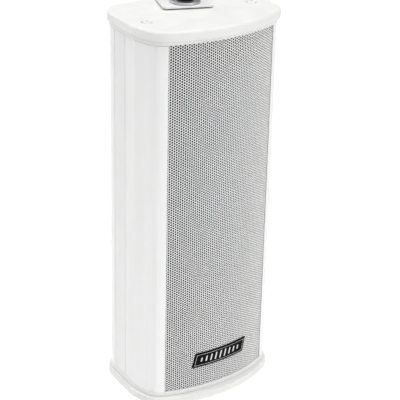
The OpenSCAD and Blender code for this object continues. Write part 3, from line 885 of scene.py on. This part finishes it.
def make_cloth():
    low, high = span("grille_cloth")
    face_r = FRONT_CENTRE.y - low.y
    half = face_r * math.asin(high.x / face_r)
    corners = [Vector(p) for p in ((-half, low.z), (half, low.z), (half, high.z), (-half, high.z))]
    form = plate(Form(), [corners], -CLOTH_THICKNESS, 0, 0.2)
    cut_across(form, [half * (2 * i / CLOTH_STEPS - 1) for i in range(1, CLOTH_STEPS)])
    wrap(form, face_r)
    cloth = fit(form.object("grille_backing_cloth"), "column", "black_cloth", "grille_cloth")


# ---- Badge ----
BADGE_SLANT = 4
BADGE_CORNER = 0.8
RIM_OUT = 1.8
RIM_IN = 2.3
BARS = 9
BAR_SHARE = 0.34
BADGE_THICKNESS = 1
BADGE_ROUNDING = 0.35
INLAY = 0.15
INLAY_ROUNDING = 0.05


def slanted(left, right, low, high, middle_z, half_height, r):
    """A slanted box with rounded corners, anticlockwise: the lean is the badge's own."""
    lean = BADGE_SLANT / 2 / half_height
    corners = [Vector((x + lean * (z - middle_z), z)) for x, z in
               ((left, low), (right, low), (right, high), (left, high))]
    loop = []
    for i, p in enumerate(corners):
        a = (corners[i - 1] - p).normalized()
        b = (corners[(i + 1) % 4] - p).normalized()
        for k in range(5):
            t = k / 4
            loop.append(p + a * r * (1 - t) ** 2 + b * r * t ** 2)
    return loop


def make_badge():
    """A black plate on the grille, with a slanted outline and plain bars that grow towards the middle."""
    low, high = span("badge_plate")
    half = high.x - BADGE_SLANT / 2
    half_height = (high.z - low.z) / 2
    middle = (high.z + low.z) / 2
    plate_r = FRONT_CENTRE.y - low.y - BADGE_THICKNESS
    cuts = [half * 1.1 * (i / 16 - 1) for i in range(1, 32)]
    face = slanted(-half, half, low.z, high.z, middle, half_height, BADGE_CORNER)
    form = plate(Form(), [face], 0, BADGE_THICKNESS, BADGE_ROUNDING)
    cut_across(form, cuts)
    wrap(form, plate_r)
    fit(form.object("badge_base"), "column", "badge_black", "badge_plate")
    rims = [slanted(d - half, half - d, low.z + d, high.z - d, middle, half_height, BADGE_CORNER)
            for d in (RIM_OUT, RIM_IN)]
    form = plate(Form(), [rims[0], rims[1][::-1]], 0, INLAY, INLAY_ROUNDING)
    reach = half - RIM_IN - 4
    pitch = 2 * reach / BARS
    for i in range(BARS):
        left = -reach + pitch * (i + 0.25)
        rise = (half_height - RIM_IN - 1.6) * (0.45 + 0.55 * math.sin(math.pi * (i + 0.5) / BARS))
        bar = slanted(left, left + pitch * BAR_SHARE, middle - rise, middle + rise, middle, half_height, 0.3)
        plate(form, [bar], 0, INLAY, INLAY_ROUNDING)
    cut_across(form, cuts)
    wrap(form, plate_r + BADGE_THICKNESS)
    fit(form.object("badge_pattern"), "column", "badge_silver", "badge_inlay")


# ---- Bracket ----
BEND_R = 6
STRIP = 2.5
ARM_CHAMFER = 2.5
BRACKET_EDGE = 0.5
ARM_HOLE_R = 5.05
WALL_HOLE_R = 3.25
WALL_HOLE_Z = 120


def make_bracket():
    """A flat blank with its holes, bent up twice into a U. It stands in the row's own frame."""
    low, high = (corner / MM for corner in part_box("wall_bracket"))
    arm = -low.y - BEND_R
    back = high.z - low.z - 2 * BEND_R
    turn = BEND_R * math.pi / 2
    length = 2 * arm + 2 * turn + back
    half = high.x
    pivot = -low.y + PIVOT.y / MM
    c = ARM_CHAMFER
    blank = [Vector(p) for p in ((0, c - half), (c, -half), (length - c, -half), (length, c - half),
                                 (length, half - c), (length - c, half), (c, half), (0, half - c))]
    holes = [(pivot, ARM_HOLE_R), (length - pivot, ARM_HOLE_R),
             (length / 2 - WALL_HOLE_Z, WALL_HOLE_R), (length / 2 + WALL_HOLE_Z, WALL_HOLE_R)]
    loops = [blank] + [circle(r, 40, Vector((x, 0)))[::-1] for x, r in holes]
    form = plate(Form(), loops, 0, STRIP, BRACKET_EDGE)
    bends = [arm + turn * i / 12 for i in range(13)]
    cut_across(form, bends + [length - x for x in bends])

    def shape(p):
        """x runs along the blank's outer face, z is the depth under it, y is across."""
        x = min(p.x, length - p.x)
        up = -1 if p.x < length / 2 else 1
        if x < arm:
            return p.y, low.y + x, up * (high.z - p.z)
        if x > arm + turn:
            return p.y, -p.z, up * (length / 2 - x)
        a = (x - arm) / BEND_R
        r = BEND_R - p.z
        return p.y, r * math.sin(a) - BEND_R, up * (high.z - BEND_R + r * math.cos(a))

    form.bend(shape)
    fit(form.object("wall_bracket_strip", ROW), "bracket", "bracket_paint", "wall_bracket")


# ---- Fasteners ----
def both_ends(form):
    """Adds the same form turned over, for the other end."""
    count = len(form.points)
    form.points += [Vector((p.x, p.y, -p.z)) for p in form.points]
    form.faces += [tuple(count + i for i in reversed(f)) for f in form.faces]
    return form


WASHER_HOLE_R = 5.25


def make_washers(name, node, slot, outer, thick, r):
    """Two plain washers, one at each end."""
    high = span(node)[1].z
    low = high - thick
    inner = WASHER_HOLE_R
    form = Form()
    lathe(form, [(inner, low), *rounded(outer, low, r, -1, True), *rounded(outer, high, r, 1),
                 (inner + r, high), (inner, high - r)], 72)
    fit(both_ends(form).object(name), "column", slot, node)


KNURLS = 40
KNURL_DEPTH = 0.22
BOLT_TIP_Z = 181
HEAD_R = 8
SOCKET_R = 4.6
BOLT_R = 5
HEAD_HEIGHT = 10


def make_pivot_bolts():
    """Socket-head screws with a knurled head."""
    top = span("pivot_bolts")[1].z
    tip = BOLT_TIP_Z
    seat = top - HEAD_HEIGHT
    form = Form()
    n = KNURLS * 4

    def knurled(r, share):
        """A ring of radius r with a share of the knurls' depth cut into it."""
        return [spot(Vector((0, 0)), r - share * KNURL_DEPTH * (1 - math.cos(KNURLS * a)) / 2, a)
                for a in (2 * math.pi * i / n for i in range(n))]

    rings = [form.ring(circle(r, n), z) for r, z in
             ((BOLT_R - 1.2, tip), (BOLT_R, tip + 1.2), (BOLT_R, seat), (HEAD_R - 0.4, seat))]
    rings += [form.ring(knurled(HEAD_R, share), z) for share, z in
              ((0, seat + 0.4), (1, seat + 1), (1, top - 1.8), (0, top - 1.2))]
    rings += [form.ring(circle(r, n), z) for r, z in rounded(HEAD_R, top, 0.9, 1)[1:]]
    form.chain(rings)
    socket = [[spot(Vector((0, 0)), r, math.radians(60 * k)) for k in range(6)]
              for r in (SOCKET_R + 0.3, SOCKET_R)]
    inside = form.chain([form.ring(socket[0], top), form.ring(socket[1], top - 0.3),
                         form.ring(socket[1], top - HEAD_HEIGHT / 2)])
    tip_hole = form.ring(circle(0.2, 6), top - HEAD_HEIGHT / 2 - 1.2)
    form.bridge(inside[-1], tip_hole)
    form.fill(tip_hole)
    form.fill(rings[-1], inside[0])
    form.fill(rings[0])
    fit(both_ends(form).object("pivot_screws", sharp=30), "column", "black_screw", "pivot_bolts")


CAP_SCREW_LENGTH = 27
CAP_SCREW_HEAD_R = 4.4
CROSS_REACH = 2.3
CROSS_HALF = 0.45


def make_cap_screws():
    """Four painted pan-head screws with a cross recess."""
    seat = span("top_cap")[1].z - RECESS_DEPTH
    top = span("cap_screws")[1].z
    form = Form()
    n = 48
    for x in (-SCREW.x, SCREW.x):
        at = Vector((x, SCREW.y))
        shank = PORT_HOLE_R - 0.05
        r = CAP_SCREW_HEAD_R
        head = [(r - 0.15, seat), (r, seat + 0.2), (r, seat + 0.8)]
        head += [(r - 1.6 * (1 - math.cos(a)), seat + 0.8 + (top - seat - 0.8) * math.sin(a))
                 for a in (math.pi / 2 * i / 6 for i in range(1, 7))]
        rings = lathe(form, [(0.6, seat - CAP_SCREW_LENGTH), (shank, seat - CAP_SCREW_LENGTH + 2),
                             (shank, seat), *head], n, at, False)
        w, g = CROSS_HALF, CROSS_REACH
        slot = [Vector(p) for p in ((g, -w), (g, w), (w, w), (w, g), (-w, g), (-w, w),
                                    (-g, w), (-g, -w), (-w, -w), (-w, -g), (w, -g), (w, -w))]
        inside = form.chain([form.ring([at + p * k for p in slot], top - d)
                             for k, d in ((1, 0), (0.9, 0.1), (0.7, 1.4))])
        form.fill(rings[-1], inside[0])
        form.fill(inside[-1])
        form.fill(rings[0])
    fit(both_ends(form).object("cap_fixing_screws", sharp=40), "column", "screw_paint", "cap_screws")


# ---- Cable gland ----
GLAND_SIDES = 72
GLAND_BODY_HEX = 12.5
GLAND_NUT_HEX = 11.5


def hexagon(r, limit):
    """A hexagon of corner radius r whose corners are turned down to limit."""
    flat = r * math.cos(math.pi / 6)
    points = []
    for i in range(GLAND_SIDES):
        a = 2 * math.pi * i / GLAND_SIDES
        points.append(spot(Vector((0, 0)), min(limit, flat / math.cos(a % (math.pi / 3) - math.pi / 6)), a))
    return points


def round_ring(r):
    return circle(r, GLAND_SIDES)


def gland_piece(name, node, slot, levels):
    """A turned piece on the gland's axis: heights run down from the bottom cap's face."""
    face = span("top_cap")[1].z
    form = Form()
    rings = form.chain([form.ring(points, z) for points, z in levels])
    form.bridge(rings[-1], rings[0])
    form.bend(lambda p: (p.x + GLAND.x, p.y + GLAND.y, -face - p.z))
    fit(form.object(name, sharp=30), "column", slot, node)


def make_gland():
    """The gland's barrel with its thread, and its domed cap nut."""
    def body(limit):
        return hexagon(GLAND_BODY_HEX, limit)

    def nut(limit):
        return hexagon(GLAND_NUT_HEX, limit)

    thread = [(round_ring(8 - 0.35 * (k % 2)), 5.2 + 0.55 * k) for k in range(8)]
    gland_piece("gland_barrel", "gland_body", "black_nylon",
                [(round_ring(5.5), -10), (round_ring(7.6), -10), (round_ring(8), -9.5), (round_ring(8), 0),
                 (body(11.9), 0), (body(12.3), 0.6), (body(12.3), 4.4), (body(11.7), 5), (round_ring(8), 5),
                 *thread, (round_ring(7.6), 10), (round_ring(5.5), 10)])
    nose = [(round_ring(7.5 + 2 * math.cos(a)), 11.4 + 3.8 * math.sin(a))
            for a in (math.pi / 2 * i / 6 for i in range(7))]
    gland_piece("gland_cap_nut", "gland_nut", "black_nylon",
                [(round_ring(8.05), 5.2), (nut(10.9), 5.2), (nut(11.4), 5.8), (nut(11.4), 10.6),
                 (nut(10.7), 11.2), (round_ring(9.7), 11.3), *nose, (round_ring(5.4), 15.2),
                 (round_ring(5), 14.8), (round_ring(5), 10.1), (round_ring(8.05), 10.1)])


# ---- Damping wadding ----
PAD_ROUNDING = 0.4
PAD_FULLNESS = 0.93
PAD_LUMPS = 0.07
PAD_LUMP_SIZE = 9


def make_wadding():
    """Two soft pads behind the drivers: rounded, lumpy blocks inside the CAD solids."""
    points = node_points("damping_wadding")
    for name, side in (("lower", -1), ("upper", 1)):
        low, high = extremes([p for p in points if p.z * side > 0])
        fit(pad("wadding_" + name, low, high), "column", "wadding", "damping_wadding")


def pad(name, low, high):
    """A block with rounded edges, its surface drawn in here and there."""
    size = high - low
    r = min(size) * PAD_ROUNDING
    work = bmesh.new()
    bmesh.ops.create_cube(work, size=1)
    bmesh.ops.subdivide_edges(work, edges=work.edges[:], cuts=15, use_grid_fill=True)
    form = Form()
    for v in work.verts:
        p = Vector([low[i] + (v.co[i] + 0.5) * size[i] for i in range(3)])
        core = Vector([min(max(p[i], low[i] + r), high[i] - r) for i in range(3)])
        way = p - core
        if way.length > 0:
            swell = PAD_FULLNESS + PAD_LUMPS * noise.noise(p / PAD_LUMP_SIZE)
            p = core + way.normalized() * r * swell
        v.co = p
    take_back(form, work)
    return form.object(name, sharp=180)


# ---- Room ----
FLOOR_DROP = 160
FLOOR_HALF = 6000


def make_floor():
    """A wide pale floor below the hanging column."""
    low = cad_box[0].z / MM - FLOOR_DROP
    form = Form()
    corners = [Vector((x, y)) for x, y in ((-1, -1), (1, -1), (1, 1), (-1, 1))]
    form.faces.append(tuple(form.ring([c * FLOOR_HALF for c in corners], low)))
    floor = form.object("floor", ROW, closed=False)
    f = Finish("floor_paper", 0.9)
    f.colour((0.97, 0.97, 0.97), ((0.955, 0.955, 0.955), f.noise(250, 2)))
    floor.data.materials.append(f.material)


# Soft glows in the room: direction round from +X and height, both in degrees, narrowness and strength
GLOWS = ((0, 90, 4, 1.93),
         (-45, 20, 6, 1.29),
         (-85, 10, 2, 0.58),
         (150, 20, 6, 0.4),
         (135, 10, 2, 1.0))
OVERHEAD_STRENGTH = 0.53
OVERHEAD_SPREAD = 60
# The picture's gamma: below 1 for the crisp, contrasty print of a catalogue picture
CONTRAST = 0.8


def towards(turn, rise):
    """The unit vector to a direction round from +X and a height, both in degrees."""
    a, e = math.radians(turn), math.radians(rise)
    return Vector((math.cos(a) * math.cos(e), math.sin(a) * math.cos(e), math.sin(e)))


def make_room():
    """A white studio: large soft glows on its walls, and a plain white backdrop."""
    scene = bpy.context.scene
    scene.view_settings.view_transform = "Standard"
    scene.view_settings.gamma = CONTRAST
    scene.world = bpy.data.worlds.new("room")
    scene.world.use_nodes = True
    nodes, links = scene.world.node_tree.nodes, scene.world.node_tree.links

    def math_node(operation, a, b):
        """A calculation on two values or outputs."""
        node = nodes.new("ShaderNodeMath")
        node.operation = operation
        for value, socket in zip((a, b), node.inputs):
            if isinstance(value, (int, float)):
                socket.default_value = value
            else:
                links.new(value, socket)
        return node.outputs[0]

    direction = nodes.new("ShaderNodeTexCoord").outputs["Generated"]
    light = 0
    for turn, rise, narrowness, strength in GLOWS:
        facing = nodes.new("ShaderNodeVectorMath")
        facing.operation = "DOT_PRODUCT"
        facing.inputs[1].default_value = towards(turn, rise)
        links.new(direction, facing.inputs[0])
        lobe = math_node("POWER", math_node("MAXIMUM", facing.outputs["Value"], 0), narrowness)
        light = math_node("ADD", light, math_node("MULTIPLY", lobe, strength))
    shown = nodes.new("ShaderNodeMapRange")
    links.new(nodes.new("ShaderNodeLightPath").outputs["Is Camera Ray"], shown.inputs["Value"])
    links.new(light, shown.inputs["To Min"])
    shown.inputs["To Max"].default_value = 1
    links.new(shown.outputs["Result"], nodes["Background"].inputs["Strength"])
    nodes["Background"].inputs["Color"].default_value = (1, 1, 1, 1)


def make_overhead():
    """One large soft light high above the column."""
    data = bpy.data.lights.new("overhead", "SUN")
    data.energy = OVERHEAD_STRENGTH
    data.angle = math.radians(OVERHEAD_SPREAD)
    bpy.context.scene.collection.objects.link(bpy.data.objects.new("overhead", data))


def dress_cad_nodes():
    """Every CAD node still shown takes the finish of its own material slot."""
    for node in frame["nodes"].values():
        if node.hide_render:
            continue
        slot = node.data.materials[0].name.split(".")[0]
        node.data.materials.clear()
        node.data.materials.append(MATERIALS[slot])


make_camera()
MATERIALS = make_finishes()
make_cabinet()
make_cap("top_end_cap", "top_cap", 1)
make_cap("bottom_end_cap", "bottom_cap", -1)
make_frame("top_end_frame", "top_frame")
make_frame("bottom_end_frame", "bottom_frame")
make_gaskets()
make_grille()
make_cloth()
make_badge()
make_bracket()
make_washers("pivot_washer_pair", "pivot_washers", "zinc_steel", 15, 2.5, 0.4)
make_washers("spacer_washer_pair", "spacer_washers", "black_nylon", 12.5, 1, 0.2)
make_pivot_bolts()
make_cap_screws()
make_gland()
make_wadding()
dress_cad_nodes()
make_floor()
make_room()
make_overhead()
